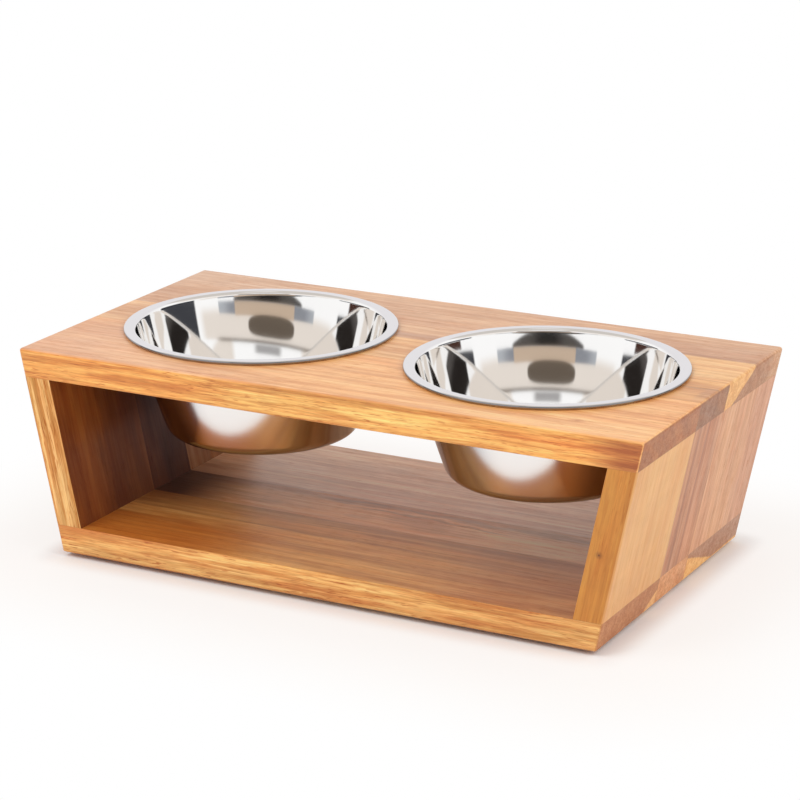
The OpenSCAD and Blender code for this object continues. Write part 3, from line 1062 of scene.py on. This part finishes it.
finishes = {
    "top_stave_front": acacia(
        "top_front_acacia", 3.1, (-150, 40), 9,
        (243, 190, 125), (239, 178, 110), (214, 140, 76), [SEAMS[1]],
        edge=HONEY_EDGE, cut=(152, 96, 65),
        marks=[
            knot((176, 96, 40), -84, 152, 2.2, 0.6),
            patch((200, 138, 100), (-110, -34), (-215, -150), 0.35, faces="broad"),
            patch((222, 176, 140), (-110, -23), (-215, -60), 0.5, (10, 50), "broad"),
            patch((234, 156, 70), (-110, -95), (90, 215), 0.5, (1, 50), "narrow"),
            patch((232, 156, 70), (-110, -95), (-215, -70), 0.7, (1, 40), "narrow"),
            patch((168, 88, 26), (-110, -103), (174, 215), 0.85, (1, 16), "narrow"),
        ], coat=0.35),
    "top_stave_left": acacia(
        "top_left_acacia", 8.4, (-40, 30), 8,
        (240, 195, 142), (227, 176, 129), (186, 126, 80), [SEAMS[1], SEAMS[2]], coat=0.35),
    "top_stave_centre": acacia(
        "top_centre_acacia", 8.4, (-40, 30), 8,
        (246, 200, 135), (234, 181, 121), (198, 138, 85), [SEAMS[1], SEAMS[2]], coat=0.35),
    "top_stave_right": acacia(
        "top_right_acacia", 8.4, (-40, 30), 8,
        (240, 186, 113), (227, 168, 99), (190, 124, 72), [SEAMS[1], SEAMS[2]],
        cut=(142, 104, 84),
        marks=[
            streak(UMBER, 2, 2.6, 150, 260, 0.45),
            patch((160, 122, 104), (-18, 0), (192, 230), 0.3, (6, 2)),
        ], coat=0.35),
    "top_stave_back": acacia(
        "top_back_acacia", 15.2, (60, -60), 9,
        (223, 178, 134), (213, 166, 124), (180, 128, 93), [SEAMS[2]],
        cut=(169, 123, 90),
        marks=[
            wedge(SAP, -0.48, 0.877, 80.7, 0.8, 0.85, 1, (110, 900)),
            streak((172, 118, 80), 64, 4.5, 60, 260, 0.5),
            streak((172, 126, 98), 27, 6, -60, 60, 0.5),
            patch((224, 178, 134), (88, 120), (60, 260), 0.5),
            patch((226, 194, 164), (70, 120), (-260, -120), 0.45, (8, 40)),
        ], coat=0.35),
    "left_stave_front": acacia(
        "left_front_acacia", 21.7, (-60, -230), 10,
        (174, 105, 43), (131, 70, 27), (78, 38, 14), [SEAMS[1]], -1,
        edge=(238, 189, 121), shine=0.12,
        marks=[patch((88, 44, 20), (-68, -20), (-60, 200), 0.6, (10, 30), "broad")]),
    "left_stave_middle": acacia(
        "left_middle_acacia", 26.3, (10, -250), 9,
        (119, 61, 23), (88, 41, 14), (54, 25, 10), [SEAMS[1], SEAMS[2]], -1, shine=0.12),
    "left_stave_back": acacia(
        "left_back_acacia", 31.9, (160, -180), 9,
        (180, 128, 84), (160, 106, 64), (112, 68, 40), [SEAMS[2]], -1, shine=0.12),
    "right_stave_front": acacia(
        "right_front_acacia", 37.4, (-60, 60), 14,
        (222, 171, 107), (216, 157, 94), (206, 140, 74), [SEAMS[1]], 1, contrast=0.42,
        # inside: painted shade on the face turned to the case
        edge=(199, 131, 47), inside=(164, 94, 34),
        marks=[knot((96, 52, 26), -104.3, 93.8, 0.9, 0.9, deep=159.1)]),
    "right_stave_middle": acacia(
        "right_middle_acacia", 42.8, (-2, 60), 7,
        (212, 154, 110), (202, 142, 101), (160, 108, 74), [SEAMS[1], SEAMS[2]], 1,
        # inside: painted shade on the face turned to the case
        inside=(156, 92, 38),
        marks=[
            streak((150, 98, 72), -14, 3.2, -60, 260, 0.5, sway=1),
            streak((156, 104, 78), -1, 2.2, -60, 260, 0.45, sway=1),
            streak((160, 96, 58), 17.4, 1.2, 20, 70, 0.5, sway=0.5),
        ]),
    "right_stave_back": acacia(
        "right_back_acacia", 48.2, (60, 90), 9,
        (219, 166, 118), (211, 156, 114), (184, 130, 94), [SEAMS[2]], 1,
        # inside: painted shade on the face turned to the case
        inside=(170, 110, 56),
        marks=[patch((196, 140, 110), (72, 120), (-60, 200), 0.45)]),
    "bottom_stave_front": acacia(
        "bottom_front_acacia", 53.6, (-150, -40), 9,
        (228, 173, 98), (212, 155, 86), (158, 99, 52), [SEAMS[1]],
        edge=(236, 181, 104), cut=(180, 130, 96),
        marks=[
            patch((190, 110, 34), (-120, -60), (-200, -60), 0.8, (12, 40), "broad"),
            patch((186, 122, 74), (-120, -20), (70, 200), 0.55, (6, 40), "broad"),
            # painted shade: the left end of the shelf, in the shadow of the left bowl and the end panel
            patch((136, 78, 30), (-44, -10), (-200, -128), 0.75, (12, 28), "broad"),
            wedge(SAP, 0.467, -0.885, -21.8, 0.5, 0.8, 0.4),
        ], coat=0.12),
    "bottom_stave_middle": acacia(
        "bottom_middle_acacia", 58.1, (-10, -30), 8,
        (250, 190, 126), (234, 174, 117), (150, 98, 68), [SEAMS[1], SEAMS[2]],
        cut=(215, 158, 111),
        marks=[
            # painted shade: the left end of the shelf, in the shadow of the left bowl and the end panel
            patch((66, 26, 4), (-30, 30), (-200, -122), 0.95, (4, 26)),
            patch((255, 216, 170), (-30, 16), (50, 130), 0.4, (6, 30)),
            streak((104, 74, 62), 12, 5, -60, 170, 0.36, sway=8),
            streak((112, 82, 68), 4, 3, -30, 70, 0.4, sway=9),
        ], coat=0.12),
    "bottom_stave_back": acacia(
        "bottom_back_acacia", 63.9, (70, 60), 9,
        (248, 204, 162), (236, 190, 150), (172, 125, 97), [SEAMS[2]],
        cut=(171, 125, 97),
        marks=[
            # painted shade: the left end of the shelf, in the shadow of the left bowl and the end panel
            patch((140, 88, 50), (0, 40), (-200, -130), 0.7, (14, 28), "broad"),
            wedge(SAP, -0.296, -0.955, -22.16, 0.6, 1, 0.6),
            wedge(SAP, 0.03, -1, -1.9, 0.5, 1, 0.4),
        ], coat=0.25),
}
print(len(finishes), "finishes for staves")

# %% [markdown]
# ## Steel
#
# The bowls are stainless steel: polished inside, where they work as a curved mirror, and
# left with a satin look outside, where fine rings from spinning blur what they show. The
# colour is nearly white and the rest is the studio. Outside, a painted shade makes it greyer
# away from the front highlight and underneath, and a painted shadow darkens the curled bead.
# The inside and the outside are one skin, so the finish asks which way a point faces, seen
# from the bowl's axis.

# %% Steel, polished inside and satin outside
def steel(name, centre_x):
    """Polished where the surface looks to the axis or up, satin where it looks away or down."""
    finish, bench = new_finish(name)
    texture = bench.node("ShaderNodeTexCoord")
    x, y, level = (part * (1.0 / MM) for part in bench.parts(texture["Object"]))
    facing = bench.parts(texture["Normal"])
    x = x - centre_x
    radius = (x * x + y * y).root().most(0.5)
    outward = (x * facing[0] + y * facing[1]) / radius
    satin = (outward - facing[2] * 0.5).rise(-0.1, 0.15) * level.rise(BOWL_SEAT - 0.5, BOWL_SEAT - 2.0)
    spun = bench.noise(bench.point(radius * 1.2, level * 1.6, 0.0), 3.0, 0.6)
    cloudy = bench.noise(bench.point(x * 0.03, y * 0.03, level * 0.03), 2.0)
    smear = bench.noise(bench.point(x * 0.008, y * 0.008, level * 0.008), 1.0)
    rough = 0.03 + cloudy * 0.025 + satin * (0.10 + spun * 0.05)
    tint = bench.blend(paint(250, 249, 248), paint(248, 247, 246), satin)
    # painted shade: the satin outside turns grey away from the front highlight and underneath, which darkens
    # its reflections
    grey = bench.blend(paint(192, 201, 214), paint(184, 178, 164), facing[0].rise(0.62, 0.86))
    to_highlight = facing[0] * 0.31 - facing[1] * 0.95
    shaded_share = to_highlight.rise(0.93, 0.78).most(facing[2].rise(-0.31, -0.40))
    tint = bench.blend(tint, grey, satin * shaded_share)
    # painted shadow: the outer lower part of the bead is darkened for the shade under the rim
    bead = outward.rise(0.55, 0.90) * level.rise(BOWL_SEAT - 0.6, BOWL_SEAT - 0.2)
    tint = bench.blend(tint, paint(150, 150, 154), bead)
    tint = bench.shade(tint, 0.97 + cloudy * 0.04)
    ripple = bench.relief(0.4, 0.0004, smear * 0.5 + spun * satin * 0.02)
    bench.cover({"Base Color": tint, "Metallic": 1.0, "Roughness": rough, "Normal": ripple})
    return finish


finishes["left_bowl"] = steel("left_bowl_steel", -BOWL_X)
finishes["right_bowl"] = steel("right_bowl_steel", BOWL_X)
print("steel turns from polished to satin just under level", BOWL_SEAT - 0.5)

# %% [markdown]
# ## Rubber pads and beech dowels
#
# The pads are dark and matt, with a fine grain. The dowels are hidden in the joints, and
# the solids themselves are shown for them, with a plain straight-grained beech.

# %% Rubber and beech
def rubber():
    """Dark and matt, with a fine speckle in its colour, its gloss and its relief."""
    finish, bench = new_finish("pad_rubber")
    spot = bench.node("ShaderNodeTexCoord")["Object"]
    speckle = bench.noise(spot, 3.0, 0.6, 900.0)
    worn = bench.noise(spot, 2.0, 0.5, 120.0)
    colour = bench.blend(paint(38, 35, 33), paint(62, 58, 55), speckle * 0.5 + worn * 0.5)
    grain = bench.relief(0.4, 0.0001, speckle)
    bench.cover({"Base Color": colour, "Roughness": 0.7 + worn * 0.2, "Normal": grain})
    return finish


def beech():
    """Pale pink-brown with short dark flecks along the dowel."""
    finish, bench = new_finish("dowel_beech")
    texture = bench.node("ShaderNodeTexCoord")
    x, y, z = (part * (1.0 / MM) for part in bench.parts(texture["Object"]))
    fibre = bench.noise(bench.point(x * 1.5, y * 1.5, z * 0.06), 3.0, 0.6)
    fleck = bench.noise(bench.point(x * 2.0, y * 2.0, z * 0.4), 1.0).rise(0.62, 0.72)
    colour = bench.blend(paint(224, 190, 148), paint(198, 158, 116), fibre)
    colour = bench.blend(colour, paint(150, 104, 70), fleck * 0.6)
    bench.cover({"Base Color": colour, "Roughness": 0.5 + fibre * 0.2})
    return finish


finishes["pad"] = rubber()
finishes["dowel"] = beech()
print(len(finishes), "finishes in all")

# %% [markdown]
# ## Putting it together
#
# Each new piece takes the place of its solid, moves with the same body, and gets its own
# finish. The dowels' solids stay as they are, with a new finish.

# %% Places, bodies and slots
made = {**wood, **bowls, **pads}
for node, piece in made.items():
    piece.data.materials.append(finishes["pad" if node.startswith("foot") else node])
    body = {"left_bowl": "bowl_left", "right_bowl": "bowl_right"}.get(node, "case")
    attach(piece, body)
    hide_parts(node)

for node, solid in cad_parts.items():
    if node.startswith("dowels"):
        solid.data.materials.clear()
        solid.data.materials.append(finishes["dowel"])
faces = sum(len(piece.data.polygons) for piece in made.values())
print(len(made), "pieces with", faces, "faces")

# %% Size of what was made
low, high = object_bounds()
print("visual box in mm:", [round(1000 * side, 2) for side in high - low])
